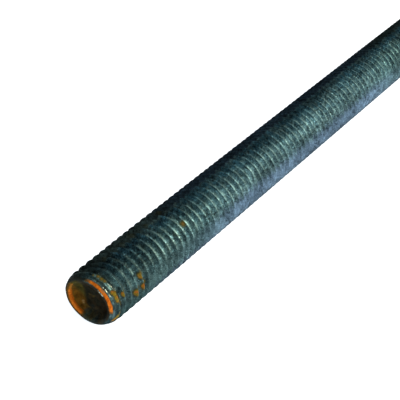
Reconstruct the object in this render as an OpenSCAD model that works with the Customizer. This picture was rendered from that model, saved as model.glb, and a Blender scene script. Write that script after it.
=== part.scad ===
// Fully threaded rod, M8 size, cropped from rolled stock.
// The rod lies along X with its middle at the origin.
// The solid is the envelope over the thread crests. The fine thread itself
// (60 degree form, pitch 1.25, right hand) is a surface detail.

/* [Rod] */
// Overall length, from the tip of one lip to the tip of the other
rod_l = 100; // [40:1:300]
// Diameter over the thread crests
crest_d = 7.86; // [7.76:0.01:7.97]

/* [Cropped ends] */
// How far the cropped face leans from square, in degrees
face_lean = 9.5; // [0:0.5:10]
// Diameter of the ring that the rounded lip runs along
lip_ring_d = 6.18; // [5.8:0.02:6.4]
// Radius of the lip's rounded edge
lip_r = 0.42; // [0.3:0.01:0.45]
// Depth of the dish inside the lip, from the lip's edge
dish_depth = 1.5; // [1:0.1:2]
// Diameter at the knee of the worn lead-in
knee_d = 7.54; // [7.4:0.02:7.6]
// Distance from the lip ring to the knee
knee_s = 0.8; // [0.6:0.05:1]
// Distance from the lip ring to the end of the lead-in
lead_s = 1.8; // [1.5:0.1:2.2]

/* [Hidden] */
$fn = 96;

// Radius that the lead-in reaches, outside the crests so that it runs out
lead_r = crest_d / 2 + 0.35;
ring_r = lip_ring_d / 2;
knee_r = knee_d / 2;
// Height of a cropped end piece, from the lip ring into the rod
cap_h = 4.2;
// The face leans about this point on the axis, measured from the lip ring
pivot_s = 0.6;
// Where the straight middle starts, measured from the tip
mid_in = 3.6;
// Dish: a ball that meets the inner side of the lip
dish_q = lip_r - dish_depth;
dish_ball = (ring_r * ring_r + dish_q * dish_q - lip_r * lip_r)
            / (2 * dish_depth) + 0.02;
dish_s = dish_depth - lip_r - dish_ball;
// Where the lead-in leaves the lip
touch_a = atan2(knee_s, knee_r - ring_r)
          - acos(lip_r / norm([knee_r - ring_r, knee_s]));
touch = [ring_r + (lip_r - 0.01) * cos(touch_a),
         (lip_r - 0.01) * sin(touch_a)];
// Distance from the tip to the point that the face leans about
tip_in = pivot_s * cos(face_lean) + ring_r * sin(face_lean) + lip_r;

// One cropped end: lip ring at z = 0, the rod's body towards +z.
module cropped_end() {
    difference() {
        union() {
            rotate_extrude()
                polygon([[0, dish_s], [ring_r, 0], touch, [knee_r, knee_s],
                         [lead_r, lead_s], [lead_r, cap_h], [0, cap_h]]);
            rotate_extrude()
                translate([ring_r, 0]) circle(r = lip_r);
        }
        translate([0, 0, dish_s]) sphere(r = dish_ball);
    }
}

// The end at -X, with the top of its face standing out furthest.
module leaning_end() {
    translate([-rod_l / 2 + tip_in, 0, 0])
        rotate([0, 90 - face_lean, 0])
            translate([0, 0, -pivot_s]) cropped_end();
}

module rod() {
    color([0.29, 0.37, 0.38])
        intersection() {
            rotate([0, 90, 0])
                cylinder(h = rod_l, r = crest_d / 2, center = true);
            union() {
                rotate([0, 90, 0])
                    cylinder(h = rod_l - 2 * mid_in, r = crest_d / 2 + 1,
                             center = true);
                // Both ends are cropped by the same blades, so the two faces
                // lean alike: the second end is the first turned half round.
                for (a = [0, 180]) rotate([0, a, 0]) leaning_end();
            }
        }
}

rod();
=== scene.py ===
"""Threaded rod: looks. One helical mesh with cropped, dished ends, a dark worn
zinc coat, rust round one lip, a pale floor and soft studio light."""
import math

import bpy
import bmesh
import numpy as np
from mathutils import Matrix, Vector, noise


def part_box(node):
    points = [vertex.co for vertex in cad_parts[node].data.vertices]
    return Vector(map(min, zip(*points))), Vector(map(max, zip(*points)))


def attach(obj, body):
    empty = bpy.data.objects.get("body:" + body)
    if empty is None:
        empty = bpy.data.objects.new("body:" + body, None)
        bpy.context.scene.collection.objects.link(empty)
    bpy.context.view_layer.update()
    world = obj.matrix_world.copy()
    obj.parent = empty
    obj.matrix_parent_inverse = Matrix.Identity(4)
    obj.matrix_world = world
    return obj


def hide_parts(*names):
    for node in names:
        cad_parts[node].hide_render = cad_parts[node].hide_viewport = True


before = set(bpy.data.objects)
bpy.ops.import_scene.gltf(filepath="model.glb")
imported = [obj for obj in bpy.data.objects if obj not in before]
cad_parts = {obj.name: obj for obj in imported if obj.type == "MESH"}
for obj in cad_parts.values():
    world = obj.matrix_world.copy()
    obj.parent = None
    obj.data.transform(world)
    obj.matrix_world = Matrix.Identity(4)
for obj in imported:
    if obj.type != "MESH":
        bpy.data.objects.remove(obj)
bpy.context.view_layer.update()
cad_lo, cad_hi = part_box("rod")
MM = 0.001

# ---------------------------------------------------------------- dimensions
PITCH = 1.25  # mm, M8 coarse
TURN = 2 * math.pi
R_CREST = 3.926  # mm over the crests, a hair inside the CAD radius of 3.93
X_REF = cad_lo[0] / MM + 1.18  # reference plane near the end at -X
# Angles run round the axis from +Y towards +Z. SEEN is the side that faces the
# camera; every phi below is measured from it, positive towards the underside.
SEEN = math.atan2(0.7502, -0.6612)
V_DIR = (0.0, math.cos(SEEN), math.sin(SEEN))  # out of the rod at phi = 0
B_DIR = (0.0, -math.sin(SEEN), math.cos(SEEN))  # out of the rod at phi = 90
LIP_RING = 3.093  # radius of the circle that the lip runs along
LIP_R = 0.425  # radius of the lip's rounded edge
LIP_BACK = 0.217  # the lip ring's middle lies this far in front of X_REF
LEAN_B, LEAN_V = 0.098, -0.1172  # how the cropped face leans, per unit radius
COLS = 96
SEED = Vector((3.7, 11.2, 5.9))


def lip_x(theta, near=True):
    """Where the lip ring lies along X, at an angle round the axis."""
    if not near:  # the far end is the near end turned half round about Y
        return -lip_x(-theta, True)
    phi = theta - SEEN
    return X_REF - LIP_BACK + LIP_RING * (LEAN_B * np.sin(phi) + LEAN_V * np.cos(phi))


def smin(a, b, k):
    h = np.clip(0.5 + 0.5 * (b - a) / k, 0, 1)
    return b * (1 - h) + a * h - k * h * (1 - h)


def smooth(x, a, b):
    t = np.clip((x - a) / (b - a), 0, 1)
    return t * t * (3 - 2 * t)


# The envelope's radius over the first millimetres from the lip ring.
LEAD_S = [0.0, 0.39, 0.79, 1.18, 1.6, 3.0, 8.0, 16.0, 200.0]
LEAD_R = [3.517, 3.68, 3.785, 3.835, 3.865, 3.885, 3.91, 3.926, 3.926]

# The thread's profile over one turn, as the offset from the crest and the
# depth below it: a narrow crest, flanks that leave it at 60 degrees, and a
# groove whose bottom the zinc has rounded.
GROOVE = 0.68


def profile():
    half = [(0.016, 0.0), (0.050, 0.040)]
    for x in (0.14, 0.25, 0.39, 0.54):
        half.append((x, 0.040 + (GROOVE - 0.040) * (1 - (1 - (x - 0.050) / 0.575) ** 2)))
    return [(-x, d) for x, d in reversed(half)] + half


PROFILE = profile()
N_TURN = len(PROFILE)
CREST0 = X_REF + 0.525  # a crest lies here at phi = 5 degrees


def ripple(co, scale, seed):
    """Smooth noise of about -1 to 1 at points in millimetres."""
    out = np.empty(len(co))
    for i, c in enumerate(co):
        out[i] = noise.noise(Vector(c) * scale + seed)
    return out


def rod_mesh():
    phi = -math.pi + np.arange(COLS) * TURN / COLS  # the seam faces away
    th = phi + SEEN
    xa, xb = lip_x(th, True), lip_x(th, False)
    k0 = int(math.floor((xa.min() - CREST0) / PITCH)) - 2
    k1 = int(math.ceil((xb.max() - CREST0) / PITCH)) + 2
    u = np.array([p[0] for p in PROFILE])
    d = np.array([p[1] for p in PROFILE])
    ks = np.arange(k0, k1 + 1)
    xi = (ks[:, None] * PITCH + u[None, :]).ravel() + CREST0
    rows = len(xi)
    X = xi[:, None] + PITCH * (phi[None, :] - math.radians(5)) / TURN
    D = np.repeat(np.tile(d, len(ks))[:, None], COLS, 1)
    T = np.repeat(th[None, :], rows, 0)
    # the first turns run a little early, most of all on the upper side
    deg = np.degrees(phi)[None, :] + 88
    sa = X - xa[None, :]
    late = (0.42 + 0.33 * (1 - smooth(sa, 2.2, 5.5))) * (1 - smooth(sa, 13, 20)) * np.exp(-((deg / 30) ** 2))
    X = X - (late + 0.14 * (1 - smooth(sa, 3, 9))) * smooth(sa, -0.6, 2.2)
    sa, sb = X - xa[None, :], xb[None, :] - X
    s = np.maximum(np.minimum(sa, sb), 0)
    # handling has dulled the crests a little, here more and there less
    flat = np.stack([X, R_CREST * np.cos(T), R_CREST * np.sin(T)], 2).reshape(-1, 3)
    wear_and_sheen = ripple(flat, 0.45, SEED).reshape(X.shape)
    fine = ripple(flat, 2.1, SEED * 2).reshape(X.shape)
    crest = np.exp(-(D / 0.12) ** 2)
    D = D + crest * (0.006 + 0.009 * wear_and_sheen + 0.006 * fine)
    D = np.maximum(D, 0.0) + (1 - crest) * 0.010 * fine
    lead = np.interp(s, LEAD_S, LEAD_R)
    # the rod isn't quite round: a blunt ridge runs along its upper side, and
    # a collar lies between the lip and the first full thread there
    ridge = 0.20 * (1 - np.exp(-((deg / 14.5) ** 2))) * (1 - smooth(np.abs(deg), 24, 54))
    up = np.exp(-((deg / 34) ** 2)) * (sa < sb)
    cut = 0.16 * up * np.exp(-(((s - 1.62) / 0.28) ** 2)) + 0.03 * up * (1 - smooth(s, 6, 12)) * smooth(s, 0.8, 1.6)
    full = np.interp(s, [0, 3, 8, 16], [3.90, 3.90, 3.915, R_CREST])
    grow = np.maximum(0.38 + 0.62 * smooth(s, 0.6, 2.2), up * smooth(s, 0.9, 1.3))
    R = np.minimum(smin(full - D * grow, lead + 0.012, 0.016), R_CREST) - ridge * smooth(s, 0.3, 1.2) - cut
    at_a, at_b = sa < 0.06, sb < 0.06
    R = np.where(at_a | at_b, LIP_RING + LIP_R, R)
    X = np.where(at_a, xa[None, :], np.where(at_b, xb[None, :], X))
    co = np.stack([X, R * np.cos(T), R * np.sin(T)], 2).reshape(-1, 3)
    idx = np.arange(rows * COLS).reshape(rows, COLS)
    # every clamped vertex of a column is one vertex of the lip's outer edge
    ring_a = idx[0, :].copy()
    ring_b = idx[-1, :].copy()
    idx = np.where(at_a, ring_a[None, :], np.where(at_b, ring_b[None, :], idx))
    faces, uvs = [], []
    verts = co.tolist()

    def strip_uv(v, j, right):
        # two strips of half the rod each, one above the other
        x = verts[v][0]
        return ((x + (0.6 if right else 50.6)) / 51.2,
                (0.436 if right else 0.004) + 0.424 * j / COLS)

    def add(q, js):
        f, g = [], []
        for v, j in zip(q, js):
            if v not in f:
                f.append(v)
                g.append(j)
        if len(f) > 2:
            right = sum(verts[v][0] for v in f) > 0
            faces.append(f)
            uvs.append([strip_uv(v, j, right) for v, j in zip(f, g)])

    n = N_TURN  # the seam: a turn's end meets the next turn's start
    for j in range(COLS):
        a = idx[:, j]
        b = idx[:, j + 1] if j < COLS - 1 else idx[:, 0]
        o = 0 if j < COLS - 1 else n
        for i in range(rows - 1 - o):
            add((int(a[i]), int(a[i + 1]), int(b[i + 1 + o]), int(b[i + o])), (j, j, j + 1, j + 1))

    cb, sb_ = np.sin(phi), np.cos(phi)  # along B_DIR and V_DIR
    for near, ring0, x0 in ((True, ring_a, xa), (False, ring_b, xb)):
        sign = 1 if near else -1
        mid = x0.mean()
        cu = 0.085 if near else 0.255
        # on the far end the same face is turned half round about Y
        fb = cb if near else np.sin(-th - SEEN)
        fv = sb_ if near else np.cos(-th - SEEN)
        fphi = np.arctan2(fb, fv)
        bumps = 0.5 * np.sin(3 * fphi + 0.6) + 0.35 * np.sin(7 * fphi + 2.0) + 0.3 * np.sin(13 * fphi + 4.1)
        rings = []
        for deg in range(75, -91, -15):
            psi = math.radians(deg)
            lip = LIP_R * (1 + 0.06 * bumps * math.cos(psi))
            if near:
                lip = lip - 0.05 * np.exp(-(((np.degrees(fphi) + 112) / 34) ** 2)) * math.cos(psi)
            rings.append((LIP_RING + lip * math.sin(psi), -lip * math.cos(psi)))
        r_in = LIP_RING - LIP_R
        # the dish: a steep wall, a floor that sinks a little, and a crease
        # that the blades left across it, with a nub where it turns
        for q in (0.98, 0.955, 0.93, 0.9, 0.87, 0.835, 0.80, 0.76, 0.70, 0.62, 0.52, 0.42, 0.31, 0.2, 0.1):
            r = r_in * q
            w = min((1 - q) / 0.21, 1.0)
            depth = 0.80 * w ** 0.9 + 0.32 * (1 - q) ** 0.7 + 0.035 * np.sin(5 * fphi + 9 * q) * w * q
            bb, vv = r * fb, r * fv
            line = (vv + 1.2 * depth) + 1.15 + 0.52 * (bb + 0.49)
            ridge = 0.13 * np.exp(-(line / 0.22) ** 2) * w
            nub = 0.22 * np.exp(-(((bb + 0.49) / 0.26) ** 2 + ((vv + 1.2 * depth + 1.10) / 0.34) ** 2))
            rings.append((np.full(COLS, r), depth - ridge - nub))
        prev = list(ring0)
        pr = np.full(COLS, LIP_RING + LIP_R)
        for r, sdepth in rings:
            # the face leans as a whole: the offset along X shrinks with the radius
            lean = (x0 - mid) * r / LIP_RING
            base = len(verts)
            for x, rr, t in zip(mid + lean + sign * sdepth, r, th):
                verts.append([x, rr * math.cos(t), rr * math.sin(t)])
            cur = list(range(base, base + COLS))
            for j in range(COLS):
                k = (j + 1) % COLS
                faces.append([prev[j], cur[j], cur[k], prev[k]])
                uvs.append([(cu + 0.0195 * q_ * fv[m] + 0.0, 0.932 + 0.0175 * q_ * fb[m])
                            for q_, m in ((pr[j], j), (r[j], j), (r[k], k), (pr[k], k))])
            prev, pr = cur, r
        verts.append([mid + sign * 1.11, 0, 0])
        c = len(verts) - 1
        for j in range(COLS):
            k = (j + 1) % COLS
            faces.append([prev[j], c, prev[k]])
            uvs.append([(cu + 0.0195 * pr[j] * fv[j], 0.932 + 0.0175 * pr[j] * fb[j]), (cu, 0.932),
                        (cu + 0.0195 * pr[k] * fv[k], 0.932 + 0.0175 * pr[k] * fb[k])])
    # keep only the vertices in use
    used = sorted({v for f in faces for v in f})
    new = {v: i for i, v in enumerate(used)}
    kind = [v // COLS % N_TURN if v < rows * COLS else -1 for v in used]
    verts = [[c * MM for c in verts[v]] for v in used]
    faces = [[new[v] for v in f] for f in faces]
    me = bpy.data.meshes.new("threaded_rod")
    me.from_pydata(verts, [], faces)
    layer = me.uv_layers.new(name="OFBake")
    layer.uv.foreach_set("vector", np.array([c for f in uvs for c in f], np.float32).ravel())
    bm = bmesh.new()
    bm.from_mesh(me)
    bmesh.ops.recalc_face_normals(bm, faces=bm.faces)
    # the crest's two edges stay crisp, so that the flanks shade as flanks
    crisp = (N_TURN // 2 - 2, N_TURN // 2 + 1)
    for e in bm.edges:
        k = kind[e.verts[0].index]
        if k in crisp and k == kind[e.verts[1].index]:
            e.smooth = False
    open_edges = sum(1 for e in bm.edges if not e.is_manifold)
    tris = sum(len(f.verts) - 2 for f in bm.faces)
    print("rod mesh: verts", len(bm.verts), "tris", tris, "open edges", open_edges,
          "volume mm3", bm.calc_volume() * 1e9)
    bm.to_mesh(me)
    bm.free()
    me.polygons.foreach_set("use_smooth", [True] * len(me.polygons))
    return me


rod = bpy.data.objects.new("threaded_rod", rod_mesh())
bpy.context.scene.collection.objects.link(rod)

# ----------------------------------------------------------------- materials
def new_material(name):
    m = bpy.data.materials.new(name)
    m.use_nodes = True
    nt = m.node_tree
    nt.nodes.clear()
    out = nt.nodes.new("ShaderNodeOutputMaterial")
    bsdf = nt.nodes.new("ShaderNodeBsdfPrincipled")
    nt.links.new(bsdf.outputs[0], out.inputs[0])
    return m, nt, bsdf


class Nodes:
    """Short names for the nodes that the material is made of."""

    def __init__(self, nt):
        self.nt = nt

    def put(self, socket, value):
        if isinstance(value, bpy.types.NodeSocket):
            self.nt.links.new(value, socket)
        elif isinstance(value, (tuple, list)) and socket.type == "RGBA":
            socket.default_value = (*value[:3], 1.0)
        else:
            socket.default_value = value

    def math(self, op, a, b=0.0, clamp=False):
        n = self.nt.nodes.new("ShaderNodeMath")
        n.operation = op
        n.use_clamp = clamp
        self.put(n.inputs[0], a)
        self.put(n.inputs[1], b)
        return n.outputs[0]

    def add(self, a, b):
        return self.math("ADD", a, b)

    def mul(self, a, b):
        return self.math("MULTIPLY", a, b)

    def sub(self, a, b):
        return self.math("SUBTRACT", a, b)

    def total(self, *terms):
        out = terms[0]
        for t in terms[1:]:
            out = self.add(out, t)
        return out

    def step(self, x, a, b):
        """0 where x is a, 1 where it is b, and smooth between."""
        n = self.nt.nodes.new("ShaderNodeMapRange")
        n.interpolation_type = "SMOOTHSTEP"
        self.put(n.inputs["Value"], x)
        n.inputs["From Min"].default_value = min(a, b)
        n.inputs["From Max"].default_value = max(a, b)
        n.inputs["To Min"].default_value = 0.0 if a < b else 1.0
        n.inputs["To Max"].default_value = 1.0 if a < b else 0.0
        return n.outputs[0]

    def band(self, x, a, b, c, d):
        return self.mul(self.step(x, a, b), self.step(x, d, c))

    def vec(self, x, y, z):
        n = self.nt.nodes.new("ShaderNodeCombineXYZ")
        for s, v in zip(n.inputs, (x, y, z)):
            self.put(s, v)
        return n.outputs[0]

    def noise(self, vector, scale, detail=2.0, rough=0.5, seed=0.0):
        n = self.nt.nodes.new("ShaderNodeTexNoise")
        n.noise_dimensions = "4D"
        self.put(n.inputs["Vector"], vector)
        n.inputs["W"].default_value = seed
        n.inputs["Scale"].default_value = scale
        n.inputs["Detail"].default_value = detail
        n.inputs["Roughness"].default_value = rough
        return n.outputs[0]

    def near(self, vector, point, r, soft):
        """1 near a point, 0 away from it."""
        n = self.nt.nodes.new("ShaderNodeVectorMath")
        n.operation = "DISTANCE"
        self.put(n.inputs[0], vector)
        n.inputs[1].default_value = point
        return self.step(n.outputs["Value"], r + soft, r - soft)

    def most(self, *terms):
        out = terms[0]
        for t in terms[1:]:
            out = self.math("MAXIMUM", out, t)
        return out

    def mix(self, fac, a, b):
        n = self.nt.nodes.new("ShaderNodeMix")
        n.data_type = "RGBA"
        n.clamp_factor = True
        self.put(n.inputs["Factor"], fac)
        self.put(n.inputs[6], a)
        self.put(n.inputs[7], b)
        return n.outputs[2]

    def blend(self, fac, a, b):
        n = self.nt.nodes.new("ShaderNodeMix")
        n.data_type = "FLOAT"
        n.clamp_factor = True
        self.put(n.inputs["Factor"], fac)
        self.put(n.inputs[2], a)
        self.put(n.inputs[3], b)
        return n.outputs[0]

    def scale(self, colour, by):
        n = self.nt.nodes.new("ShaderNodeVectorMath")
        n.operation = "SCALE"
        self.put(n.inputs[0], colour)
        self.put(n.inputs["Scale"], by)
        return n.outputs[0]


def on_rod(x, phi):
    """A place on the rod unrolled: millimetres from X_REF, degrees from SEEN."""
    return (x, math.radians(phi) * 3.9, 0.0)


ZINC_ROUGH = 0.34
mat, nt, bsdf = new_material("zinc_steel")
N = Nodes(nt)
tc = nt.nodes.new("ShaderNodeTexCoord")
p = N.scale(tc.outputs["Object"], 1000.0)  # millimetres
sep = nt.nodes.new("ShaderNodeSeparateXYZ")
nt.links.new(p, sep.inputs[0])
px, py, pz = sep.outputs

# both ends at once: the far end is the near end turned half round about Y
near_end = N.math("LESS_THAN", px, 0.0)
side = N.sub(N.mul(near_end, 2.0), 1.0)
ex = N.mul(N.math("ABSOLUTE", px), -1.0)
ez = N.mul(pz, side)
vv = N.add(N.mul(py, V_DIR[1]), N.mul(ez, V_DIR[2]))
bb = N.add(N.mul(py, B_DIR[1]), N.mul(ez, B_DIR[2]))
rr = N.math("SQRT", N.add(N.mul(py, py), N.mul(pz, pz)))
phi = N.mul(N.math("ARCTAN2", bb, vv), 180 / math.pi)
around = N.math("ARCTAN2", N.add(N.mul(py, B_DIR[1]), N.mul(pz, B_DIR[2])),
                N.add(N.mul(py, V_DIR[1]), N.mul(pz, V_DIR[2])))
around = N.mul(around, 180 / math.pi)
# behind the lip ring's plane, and the angle round the lip's own edge: 180 far
# outside, 90 where it meets the thread, 0 at the tip, -90 inside, -180 deep
lip_s = N.total(ex, -(X_REF - LIP_BACK), N.mul(bb, -LEAN_B), N.mul(vv, -LEAN_V))
psi = N.mul(N.math("ARCTAN2", N.sub(rr, LIP_RING), N.mul(lip_s, -1.0)), 180 / math.pi)
# the turn of thread: 0 and 1 at a crest, 0.5 in the root
turn = N.sub(N.mul(N.sub(px, CREST0), 1 / PITCH), N.mul(N.sub(around, 5.0), 1 / 360))
turn = N.math("FRACT", turn)
off = N.math("ABSOLUTE", N.sub(turn, 0.5))  # 0.5 at a crest, 0 in the root

cloud = N.noise(p, 0.30, 3.0, 0.55, 1.0)
patch = N.noise(p, 0.85, 2.0, 0.5, 2.0)
grain = N.noise(p, 3.2, 2.0, 0.6, 3.0)
speck = N.noise(p, 8.5, 1.0, 0.5, 4.0)
wob = N.sub(N.noise(p, 1.7, 3.0, 0.6, 5.0), 0.5)

# the rod unrolled, with what lies deep in a groove moved to where it shows
flat = N.vec(N.sub(N.sub(px, X_REF), N.mul(N.sub(3.9, rr), 0.75)), N.mul(around, math.pi / 180 * 3.9), 0.0)
along = N.vec(N.mul(N.sub(px, X_REF), 0.5), N.mul(around, math.pi / 180 * 3.9), 0.0)


def marks(*spec):
    """Soft marks on the rod: millimetres from X_REF, degrees from SEEN, size."""
    return N.most(*[N.near(along, on_rod(x * 0.5, a), size * 0.5, size * 0.5) for x, a, size in spec])


# zinc gone dark, cloudy, with a fine grain
drag = N.noise(N.vec(N.mul(px, 0.9), N.mul(py, 2.6), N.mul(pz, 2.6)), 1.6, 2.0, 0.6, 7.0)
out = N.step(lip_s, 6.0, 22.0)  # away from the handled end
lower = N.step(N.add(around, N.mul(wob, 26.0)), 26.0, 50.0)  # the side that faces the floor
upper = N.step(N.add(around, N.mul(wob, 14.0)), -38.0, -54.0)  # the side that faces up and away
# painted shade: the side that faces up and away is coloured near-black and made hardly metallic, so it stays dark
# whatever it faces
top_shade = N.mul(N.step(N.math("ABSOLUTE", N.add(around, 88.0)), 52.0, 36.0), upper)
grainy = N.sub(1.0, N.mul(lower, 0.5))
tone = N.total(1.0, N.mul(N.sub(cloud, 0.5), 1.5), N.mul(N.sub(patch, 0.5), 1.2), N.mul(N.sub(drag, 0.5), 1.3),
               N.mul(N.mul(N.sub(grain, 0.5), 3.4), grainy), N.mul(N.mul(N.sub(speck, 0.5), 2.2), grainy))
tone = N.math("MAXIMUM", tone, 0.22)
# painted highlight: places where the groove sheen is brighter
lit = marks((55.4, 7.7, 2.2), (62.5, 12.3, 2.0), (42.8, 8.8, 2.0), (34.0, 3.6, 2.2), (28.3, 14.7, 1.8),
            (23.6, -2.6, 1.6), (72.3, 6.3, 1.8), (14.5, 6.0, 1.8), (10.5, 12.0, 1.5), (0.6, 8.0, 1.0))
smudge = marks((36.5, 27.0, 1.8), (24.0, 36.0, 1.5), (31.9, 58.0, 1.2), (61.1, 30.0, 1.6), (47.2, 28.0, 1.6),
               (40.0, 26.0, 1.6), (31.3, 6.1, 1.5), (12.5, 44.0, 1.4), (21.0, 48.0, 1.0), (6.5, 5.0, 1.3))
smudge = N.mul(smudge, N.step(N.add(drag, N.mul(wob, 0.5)), 0.36, 0.60))
tone = N.mul(tone, N.sub(1.0, N.mul(smudge, 0.48)))
# painted light and shade: the tone is lowered near the end, most on the underside, and raised or lowered in bands
# round the rod where light falls differently
tone = N.mul(tone, N.blend(N.step(lip_s, 4.0, 15.0), N.blend(lower, 0.54, 0.42), N.blend(lower, 0.97, 0.84)))
tone = N.mul(tone, N.add(1.0, N.mul(N.band(around, -46, -36, -24, -12), N.sub(0.66, N.add(N.mul(N.step(lip_s, 18, 25), 0.34), N.mul(N.step(lip_s, 30, 44), 0.40))))))
tone = N.mul(tone, N.add(1.0, N.mul(N.mul(out, N.band(around, -12, 4, 16, 26)), N.total(0.26, N.mul(N.step(lip_s, 18, 25), 0.20), N.mul(N.step(lip_s, 36, 48), 0.2)))))
tone = N.mul(tone, N.add(1.0, N.mul(N.step(around, 14, 28), N.add(N.mul(N.step(lip_s, 17, 25), 0.24), N.mul(N.step(lip_s, 32, 46), 0.08)))))
tone = N.mul(tone, N.sub(1.0, N.mul(N.band(around, -28, -14, 34, 50), 0.21)))
tone = N.mul(tone, N.add(1.0, N.mul(N.band(lip_s, 13.0, 15.5, 18.5, 21.5), N.mul(N.band(around, -18.0, -8.0, 0.0, 14.0), 0.28))))
tone = N.mul(tone, N.add(1.0, N.mul(N.step(around, 10.0, 26.0), N.sub(N.mul(N.band(lip_s, 18.0, 22.0, 28.0, 34.0), 0.14), N.mul(N.step(lip_s, 28.0, 34.0), 0.08)))))
# painted shade along the threads: the side of each thread next to the crest is darkened, the groove below it is not
crest_side_shade = N.most(N.band(turn, 0.74, 0.88, 1.2, 1.3), N.step(turn, 0.18, 0.08))
hollow = N.band(turn, 0.34, 0.44, 0.64, 0.90)
stripe = N.total(0.18, N.mul(N.band(lip_s, 8.5, 11.0, 18.5, 21.5), 0.75), N.mul(N.step(lip_s, 19.0, 23.0), N.mul(N.step(around, 6, 20), 0.30)),
                 N.mul(N.step(around, 5.0, -9.0), N.blend(N.band(lip_s, 8.0, 11.0, 18.5, 22.0), N.blend(N.step(lip_s, 6.0, 10.0), -0.30, -0.62), -0.75)))
stripe = N.mul(stripe, N.step(N.add(around, N.mul(wob, 30.0)), 54.0, 34.0))
tone = N.mul(tone, N.sub(1.0, N.mul(stripe, N.mul(crest_side_shade, 0.42))))
# painted light: the side of each thread that faces the near end is made less dark on the upper half
lit_flank = N.mul(N.band(turn, 0.58, 0.68, 0.86, 0.96), N.step(around, 13.0, -5.0))
tone = N.mul(tone, N.add(1.0, N.mul(lit_flank, N.sub(0.50, N.total(N.mul(N.step(lip_s, 8.5, 6.0), 0.14), N.mul(N.band(lip_s, 7.0, 9.0, 18.0, 21.0), 0.34))))))
# painted shade: a band of the upper side near the end is darkened
tone = N.mul(tone, N.sub(1.0, N.mul(N.mul(N.band(around, -36, -26, -6, 6), N.step(lip_s, 33.0, 27.0)), N.blend(N.band(lip_s, 7.0, 9.0, 18.0, 21.0), N.blend(N.step(lip_s, 6.5, 8.5), 0.13, 0.22), 0.10))))
# painted highlight: the grooves of the first turns on the front side are brightened
root = N.mul(N.band(turn, 0.44, 0.62, 0.98, 1.08), N.mul(N.step(lip_s, 8.5, 6.0), N.band(around, -16.0, -6.0, 10.0, 18.0)))
tone = N.mul(tone, N.add(1.0, N.mul(root, 0.55)))
# painted shade: bands of the upper and front side just past the first turns are darkened
tone = N.mul(tone, N.sub(1.0, N.mul(N.band(lip_s, 7.0, 9.0, 13.0, 15.5), N.add(N.mul(N.band(around, -34, -26, -18, -6), 0.34), N.mul(N.band(around, -10, 4, 24, 36), 0.10)))))
# painted highlights: thin bright lines along the crests, down the lower side of the near turns
early = N.mul(N.step(lip_s, 9.0, 3.0), N.step(lip_s, -0.6, 2.2))  # the first crests run early
crest_glint = N.math("FRACT", N.add(turn, N.mul(early, 0.112)))
crest_glint = N.mul(N.most(N.band(crest_glint, 0.89, 0.97, 1.1, 1.2), N.step(crest_glint, 0.14, 0.06)), N.band(around, 12.0, 26.0, 64.0, 80.0))
crest_glint = N.mul(crest_glint, N.add(N.mul(N.step(lip_s, 9.0, 7.0), N.add(0.56, N.mul(N.step(lip_s, 5.0, 3.2), 0.36))), N.mul(N.band(lip_s, 7.0, 9.0, 18.0, 21.0), 0.26)))
# painted shade in the grooves of the lower side
groove_shade = N.mul(N.band(turn, 0.46, 0.58, 0.80, 0.90), N.mul(N.band(around, 32.0, 42.0, 58.0, 68.0), N.step(lip_s, 22.0, 18.0)))
tone = N.mul(tone, N.sub(N.add(1.0, crest_glint), N.mul(groove_shade, 0.18)))
# painted shade: darker on the upper side of the first turns, far along the rod, and on the lower side a little way
# along
tone = N.mul(tone, N.sub(1.0, N.mul(N.mul(N.band(lip_s, 1.2, 1.8, 3.9, 5.2), N.band(around, -62.0, -48.0, -17.0, -5.0)), 0.40)))
tone = N.mul(tone, N.sub(1.0, N.mul(N.mul(N.step(lip_s, 47.0, 53.0), N.band(around, -66.0, -52.0, -6.0, 6.0)), 0.30)))
tone = N.mul(tone, N.sub(1.0, N.mul(N.mul(N.band(lip_s, 8.0, 14.0, 19.0, 22.0), N.band(around, 34.0, 42.0, 58.0, 68.0)), 0.22)))
# painted highlight: a broken sheen in the grooves, stronger away from the near end and at the lit marks
wear_and_sheen = N.step(N.noise(N.vec(N.mul(px, 0.5), N.mul(py, 1.5), N.mul(pz, 1.5)), 2.2, 2.0, 0.6, 8.0), 0.36, 0.62)
shine = N.mul(N.mul(hollow, wear_and_sheen), N.add(N.blend(out, 0.30, 0.55), N.mul(lit, 0.7)))
shine = N.mul(shine, N.step(around, -22.0, 2.0))
tone = N.mul(tone, N.add(1.0, N.mul(stripe, shine)))
# fine lines along the thread, and turns that are brighter than others
hair = N.noise(N.vec(N.mul(px, 3.2), N.mul(py, 0.9), N.mul(pz, 0.9)), 1.5, 2.0, 0.6, 11.0)
uneven = N.noise(N.vec(N.mul(px, 1.0), N.mul(py, 0.45), N.mul(pz, 0.45)), 1.0, 1.0, 0.5, 12.0)
tone = N.mul(tone, N.total(1.0, N.mul(N.sub(hair, 0.5), 1.3), N.mul(N.sub(uneven, 0.5), 1.1)))
tone = N.math("MAXIMUM", tone, 0.10)
# painted highlights: small bright glints scattered over the front band
sparkle = N.mul(N.step(N.noise(p, 5.6, 0.0, 0.5, 10.0), 0.60, 0.72), N.most(N.band(around, -34, -12, 30, 46), N.mul(N.band(around, -60, -46, 66, 80), N.band(lip_s, 2.5, 5.0, 18.0, 22.0))))
tone = N.mul(tone, N.add(1.0, N.mul(sparkle, 0.9)))
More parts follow.
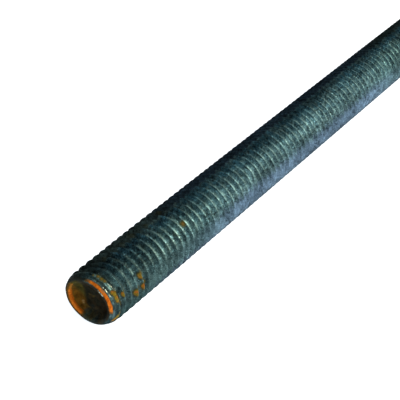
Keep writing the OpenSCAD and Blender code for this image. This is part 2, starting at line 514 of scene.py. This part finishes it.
# painted light: the zinc's colour changes by side, bluer on the upper side, greener on the front, a light blue on the
# underside away from the end that stands for the floor's reflection, and greener on the flanks facing the near end
zinc = N.mix(N.step(around, -34.0, 4.0), (0.065, 0.150, 0.180), (0.084, 0.154, 0.165))
zinc = N.mix(N.step(patch, 0.42, 0.62), zinc, N.mix(N.step(lip_s, 16.0, 26.0), (0.096, 0.156, 0.150), (0.091, 0.156, 0.159)))
zinc = N.mix(lower, zinc, N.mix(N.step(lip_s, 8.0, 30.0), (0.092, 0.146, 0.149), (0.108, 0.168, 0.232)))
zinc = N.mix(N.mul(N.band(turn, 0.58, 0.70, 0.94, 1.04), N.mul(N.step(lip_s, 30.0, 18.0), N.mul(N.step(around, -34.0, -16.0), 0.35))), zinc, (0.066, 0.150, 0.145))
zinc = N.scale(zinc, tone)
# painted shade: the underside turns dark again towards the floor
zinc = N.mix(N.mul(N.step(around, 60.0, 84.0), N.step(lip_s, 4.0, 14.0)), zinc, N.scale((0.078, 0.112, 0.142), tone))
# painted shade on the upper side, with a painted highlight along its grooves
top_shade_tone = N.mul(N.add(0.05, N.mul(tone, 0.95)), N.blend(N.step(lip_s, 8.0, 12.0), 1.36, 1.0))
top_shade_tone = N.mul(top_shade_tone, N.add(0.80, N.mul(N.band(turn, 0.42, 0.55, 0.75, 0.92), 0.60)))
zinc = N.mix(top_shade, zinc, N.scale(N.mix(N.step(lip_s, 12.0, 24.0), (0.0180, 0.0305, 0.0305), (0.0120, 0.0235, 0.0355)), top_shade_tone))

# rust on the lip: the inside of the lip on one side, its outside on the other
ps = N.add(psi, N.mul(wob, 30.0))
ph = N.add(phi, N.mul(wob, 22.0))
ph_back = N.math("MODULO", N.add(ph, 720.0), 360.0)
left_in = N.sub(ps, N.mul(N.math("MAXIMUM", N.sub(ph_back, 240.0), 0.0), 1.5))
left = N.mul(N.band(ph_back, 160, 174, 270, 290), N.mul(N.step(left_in, -118, -92), N.step(ps, -12, -34)))
right_ps = N.add(ps, N.mul(N.math("MAXIMUM", N.sub(ph, 2.0), 0.0), 0.55))
right = N.mul(N.band(ph, -46, -26, 48, 62), N.band(right_ps, 20, 42, 86, 110))
torn = N.noise(p, 2.4, 1.0, 0.5, 13.0)
flat_torn = nt.nodes.new("ShaderNodeVectorMath")
nt.links.new(flat, flat_torn.inputs[0])
nt.links.new(N.vec(N.mul(wob, 0.35), N.mul(N.sub(torn, 0.5), 0.28), 0.0), flat_torn.inputs[1])
flat_torn = flat_torn.outputs[0]
spots = []
for x, a, size, soft in (
        (5.36, 23.8, 0.40, 0.17), (5.56, 46.5, 0.42, 0.18), (4.12, 49.5, 0.48, 0.18), (1.56, 30.5, 0.31, 0.12),
        (0.25, 18.6, 0.36, 0.14), (-0.04, 14.5, 0.26, 0.12), (0.31, 26.5, 0.34, 0.12), (0.33, 33.4, 0.28, 0.14),
        (0.14, -25.0, 0.22, 0.16), (0.10, -17.0, 0.22, 0.16), (0.17, -10.0, 0.20, 0.16), (0.68, 38.0, 0.16, 0.16),
        (0.44, 70.0, 0.32, 0.18), (0.16, 76.0, 0.36, 0.18), (-0.05, 81.0, 0.26, 0.16), (0.80, 45.0, 0.08, 0.12), (0.82, 51.0, 0.10, 0.12), (0.76, 57.0, 0.10, 0.12), (0.64, 63.0, 0.16, 0.14), (-0.10, -33.0, 0.10, 0.16), (16.35, -1.5, 0.30, 0.22)):
    spots.append(N.near(flat_torn, on_rod(x, a), size * (1.16 if x > 1.0 else 1.05), soft * 2.0))
spots = N.math("MULTIPLY", N.most(*spots), N.add(0.35, N.mul(N.step(grain, 0.24, 0.36), 0.65)))
faint = N.most(*[N.near(flat, on_rod(x, a), size * 0.4, size * 0.9) for x, a, size in (
    (15.92, -62.0, 0.80), (9.62, -58.0, 0.80), (7.7, -54.3, 0.70), (4.02, -29.6, 0.60), (3.59, -51.0, 0.50),
    (12.6, -50.0, 0.6), (13.95, 3.7, 0.40), (0.78, 47.0, 0.40), (0.66, 56.0, 0.40))])
lip_rust = N.mul(N.most(left, right), near_end)
faint = N.mul(faint, N.step(grain, 0.30, 0.60))
rust = N.most(lip_rust, N.mul(N.step(spots, 0.0, 0.70), 0.90), N.mul(faint, 0.50))

# the dish: painted shade makes it dark and mottled, with a brown stain down the wall that shows, as far as the crease
# across it, and a greyer floor at the lower side, painted light that lifts the shade there
dish = N.step(ps, 26, -6)
streak = N.noise(N.vec(N.mul(ex, 0.25), py, pz), 2.2, 3.0, 0.65, 6.0)
mottle = N.noise(N.vec(N.mul(ex, 0.5), py, pz), 1.1, 2.0, 0.6, 9.0)
deep = N.add(vv, N.mul(lip_s, 1.2))
fold = N.most(N.sub(1.30, N.mul(N.add(bb, 1.85), 1.26)), -1.10)
crease = N.total(N.sub(deep, fold), N.mul(wob, 0.9), N.mul(N.sub(streak, 0.5), 0.9))
brown = N.step(crease, 0.45, -0.65)
dish_col = N.mix(N.step(mottle, 0.38, 0.62), (0.0120, 0.0125, 0.0075), (0.0220, 0.0150, 0.0070))
wall = N.mix(N.step(deep, 0.2, -0.9), (0.044, 0.038, 0.008), (0.110, 0.050, 0.006))
wall = N.mix(N.step(deep, 0.7, 1.2), wall, (0.022, 0.021, 0.011))
dish_col = N.mix(brown, dish_col, wall)
# painted light: the lower floor of the dish is lifted out of its shade
low = N.mul(N.step(bb, 0.2, 1.2), N.step(deep, 0.6, -0.9))
dish_col = N.mix(low, dish_col, N.mix(N.step(mottle, 0.40, 0.60), (0.018, 0.026, 0.024), (0.036, 0.030, 0.016)))
low = N.near(N.vec(N.mul(bb, 1.2), deep, 0.0), (1.55, -2.05, 0.0), 0.95, 0.55)
dish_col = N.mix(low, dish_col, N.mix(N.step(mottle, 0.40, 0.60), (0.034, 0.052, 0.042), (0.066, 0.056, 0.025)))
# painted highlight where the crease turns, and a faint painted line on from there
bend = N.math("ABSOLUTE", N.sub(deep, N.add(-1.40, N.mul(N.step(bb, 0.0, 0.8), 0.30))))
crease_highlight = N.mul(N.step(N.add(bend, N.mul(wob, 0.5)), 0.26, 0.04), N.band(bb, -0.5, -0.1, 0.5, 1.6))
dish_col = N.mix(N.mul(crease_highlight, 0.5), dish_col, (0.110, 0.080, 0.022))
nub = N.most(N.near(N.vec(bb, N.mul(deep, 0.75), 0.0), (-0.50, -0.86, 0.0), 0.15, 0.15),
             N.near(N.vec(bb, N.mul(deep, 0.75), 0.0), (-0.30, -1.00, 0.0), 0.10, 0.14))
nub = N.mul(nub, 0.85)
dish_col = N.scale(dish_col, N.math("MAXIMUM", N.add(-0.35, N.mul(streak, 2.7)), 0.35))
dish_col = N.mix(nub, dish_col, (0.300, 0.190, 0.075))
# the far end's dish is plain and dark, painted shade as on the near end, without the stain
dish_col = N.mix(near_end, N.mix(N.step(mottle, 0.38, 0.62), (0.022, 0.030, 0.031), (0.034, 0.043, 0.043)), dish_col)

rust_col = N.mix(N.step(grain, 0.36, 0.66), (0.40, 0.088, 0.006), (0.62, 0.165, 0.014))
rust_col = N.mix(N.step(patch, 0.55, 0.75), rust_col, (0.30, 0.10, 0.012))
spot_col = N.mix(N.step(torn, 0.40, 0.60), (0.225, 0.155, 0.010), (0.350, 0.105, 0.009))
spot_col = N.mix(N.step(grain, 0.46, 0.30), spot_col, (0.160, 0.078, 0.010))
spot_col = N.mix(N.step(spots, 0.96, 0.50), spot_col, (0.085, 0.072, 0.012))
spot_col = N.mix(N.most(N.step(lip_s, 12.0, 15.0), N.step(around, -4.0, -12.0)), spot_col, N.mix(N.step(spots, 0.70, 1.0), (0.105, 0.088, 0.012), (0.300, 0.110, 0.010)))
spot_col = N.mix(N.sub(faint, spots), spot_col, (0.032, 0.034, 0.008))
rust_col = N.mix(N.step(psi, -62.0, -98.0), rust_col, (0.30, 0.074, 0.006))
rust_col = N.mix(N.step(lip_rust, 0.95, 0.40), rust_col, (0.20, 0.075, 0.009))
rust_col = N.mix(N.mul(N.band(ph_back, 236, 262, 300, 310), 0.75), rust_col, (0.170, 0.095, 0.014))
rust_col = N.mix(N.mul(N.mul(N.band(phi, -6, -1, 4, 8), N.step(psi, 44, 70)), 0.75), rust_col, (0.260, 0.125, 0.050))
rust_col = N.mix(lip_rust, spot_col, rust_col)

# painted shade: the lip between the rust is made near-black
lip_shade = N.mul(N.band(ps, -105, -80, 60, 95), N.step(ph, 150, 120))
lip_shade = N.mul(lip_shade, N.sub(1.0, N.mul(N.band(ph, 50, 60, 94, 108), N.step(psi, -12, 14))))
base = N.mix(N.mul(lip_shade, 0.80), zinc, (0.020, 0.023, 0.018))
# painted shade: the gap between the lip and the first thread is made dark and less metallic
gap_shade = N.mul(N.band(lip_s, 0.24, 0.36, 0.58, 0.74), N.band(phi, -62, -34, 12, 32))
gap_shade = N.most(gap_shade, N.mul(N.mul(N.band(N.sub(px, X_REF), 0.84, 1.04, 1.34, 1.60), N.band(around, -34, -14, 14, 36)), near_end))
gap_shade = N.mul(gap_shade, N.add(0.70, N.mul(N.step(N.add(speck, N.mul(grain, 0.5)), 0.86, 0.70), 0.30)))
base = N.mix(N.mul(gap_shade, 0.86), base, (0.012, 0.026, 0.026))
# and the pale edge of the lip at the lower side, a painted reflection of the floor
lip_floor_reflection = N.mul(N.mul(N.band(psi, 52, 66, 92, 112), N.band(phi, 46, 54, 66, 76)), near_end)
base = N.mix(N.mul(lip_floor_reflection, 0.6), base, (0.140, 0.215, 0.220))
base = N.mix(dish, base, dish_col)
# painted highlights: pale bright metal placed where glints show, on the lip, beside it, and on the first thread
dots = N.step(N.add(N.mul(grain, 0.6), N.mul(speck, 0.4)), 0.47, 0.56)
glint = N.mul(N.band(psi, 2, 8, 22, 27), N.band(phi, -9, -6, 8, 12))
glint = N.most(glint, N.mul(N.band(psi, 108, 111, 115, 120), N.band(phi, -6, -1, 15, 22)))
glint = N.most(glint, *[N.near(flat, on_rod(x, a), 0.10, 0.09) for x, a in (
    (0.24, -6.0), (0.30, -2.0), (0.36, 2.0), (0.43, 5.5), (0.50, 9.0), (0.57, 12.5), (0.60, 16.0))])
glint = N.mul(N.mul(glint, near_end), dots)
base = N.mix(glint, base, (0.70, 0.74, 0.58))
base = N.mix(N.mul(rust, N.sub(1.0, glint)), base, rust_col)
N.put(bsdf.inputs["Base Color"], base)
metal = N.mul(N.sub(1.0, N.math("MULTIPLY", rust, 1.0, clamp=True)), N.sub(1.0, N.mul(dish, 0.92)))
metal = N.mul(metal, N.sub(1.0, N.mul(gap_shade, 0.7)))
metal = N.most(N.mul(metal, N.sub(1.0, N.mul(top_shade, 0.96))), glint)
N.put(bsdf.inputs["Metallic"], metal)
rough = N.total(ZINC_ROUGH - 0.10, N.mul(cloud, 0.10), N.mul(grain, 0.12))
rough = N.blend(lower, rough, 0.46)
rough = N.blend(top_shade, rough, 0.8)
rough = N.blend(dish, rough, 0.9)
rough = N.blend(rust, rough, 0.85)
N.put(bsdf.inputs["Roughness"], rough)
bsdf.inputs["Specular IOR Level"].default_value = 0.12
bsdf.inputs["Specular Tint"].default_value = (0.12, 0.16, 0.20, 1)
bump = nt.nodes.new("ShaderNodeBump")
bump.inputs["Distance"].default_value = 0.00009
bump.inputs["Strength"].default_value = 0.8
height = N.total(N.mul(grain, 0.9), N.mul(speck, 0.45), N.mul(rust, N.mul(speck, 1.4)))
N.put(bump.inputs["Height"], height)
nt.links.new(bump.outputs[0], bsdf.inputs["Normal"])
rod.data.materials.append(mat)

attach(rod, "root")
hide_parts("rod")

# --------------------------------------------------------------------- stage
floor_z = cad_lo[2]
me = bpy.data.meshes.new("floor")
S = 6.0
me.from_pydata([(-S, -S, floor_z), (S, -S, floor_z), (S, S, floor_z), (-S, S, floor_z)], [], [(0, 1, 2, 3)])
floor = bpy.data.objects.new("floor", me)
bpy.context.scene.collection.objects.link(floor)
fm, fnt, fb = new_material("floor_white")
fb.inputs["Base Color"].default_value = (0.85, 0.865, 0.90, 1)
# a white floor lit from beneath too, so that shadows stay faint
fb.inputs["Emission Color"].default_value = (0.92, 0.96, 1.0, 1)
fb.inputs["Emission Strength"].default_value = 1.0
fb.inputs["Roughness"].default_value = 0.95
fb.inputs["Specular IOR Level"].default_value = 0.0
floor.data.materials.append(fm)

WORLD = 0.03
world = bpy.data.worlds.new("studio")
world.use_nodes = True
bg = world.node_tree.nodes["Background"]
bg.inputs[0].default_value = (0.45, 0.85, 1.2, 1)
bg.inputs[1].default_value = WORLD
bpy.context.scene.world = world


def area(name, direction, dist, width, height, radiance, color=(1, 1, 1)):
    """A soft box that faces the object's middle from a direction, with its
    width level and its brightness given as radiance."""
    l = bpy.data.lights.new(name, "AREA")
    l.shape = "RECTANGLE"
    l.size = width
    l.size_y = height
    l.energy = radiance * math.pi * width * height
    l.color = color
    o = bpy.data.objects.new(name, l)
    d = Vector(direction).normalized()
    o.location = d * dist
    o.rotation_mode = "QUATERNION"
    o.rotation_quaternion = (-d).to_track_quat("-Z", "Y")
    bpy.context.scene.collection.objects.link(o)
    return o


LIGHTS = [
    ("key", (0.03, -0.83, 0.56), 0.80, 0.72, 1.05, 3.0, (1.08, 1.0, 0.84)),
    ("wing", (-0.72, -0.56, 0.42), 0.95, 0.5, 0.8, 0.7, (0.9, 1.0, 1.05)),
    ("front", (-0.95, -0.22, 0.24), 1.0, 0.7, 0.45, 0.40, (0.75, 1.0, 1.15)),
    ("top", (-0.10, -0.18, 0.98), 1.0, 0.6, 0.5, 1.3, (1.0, 1.0, 0.95)),
]
for spec in LIGHTS:
    area(*spec)

# -------------------------------------------------------------------- camera
cam = bpy.data.cameras.new("camera")
cam.sensor_width = 36
cam.lens = 1262.2055 * 36 / 400
cam.clip_start, cam.clip_end = 0.01, 50
camo = bpy.data.objects.new("camera", cam)
bpy.context.scene.collection.objects.link(camo)
ref = Vector((X_REF * MM, 0, 0))
fwd = Vector((0.730076, 0.457006, -0.508100))
up = Vector((0.428366, 0.273246, 0.861292))
right = fwd.cross(up)
camo.matrix_world = Matrix((
    (right.x, up.x, -fwd.x, 0), (right.y, up.y, -fwd.y, 0),
    (right.z, up.z, -fwd.z, 0), (0, 0, 0, 1)))
camo.location = ref + Vector((-0.0976919, -0.076414, 0.0866218))
bpy.context.scene.camera = camo
bpy.context.scene.view_settings.view_transform = "Standard"
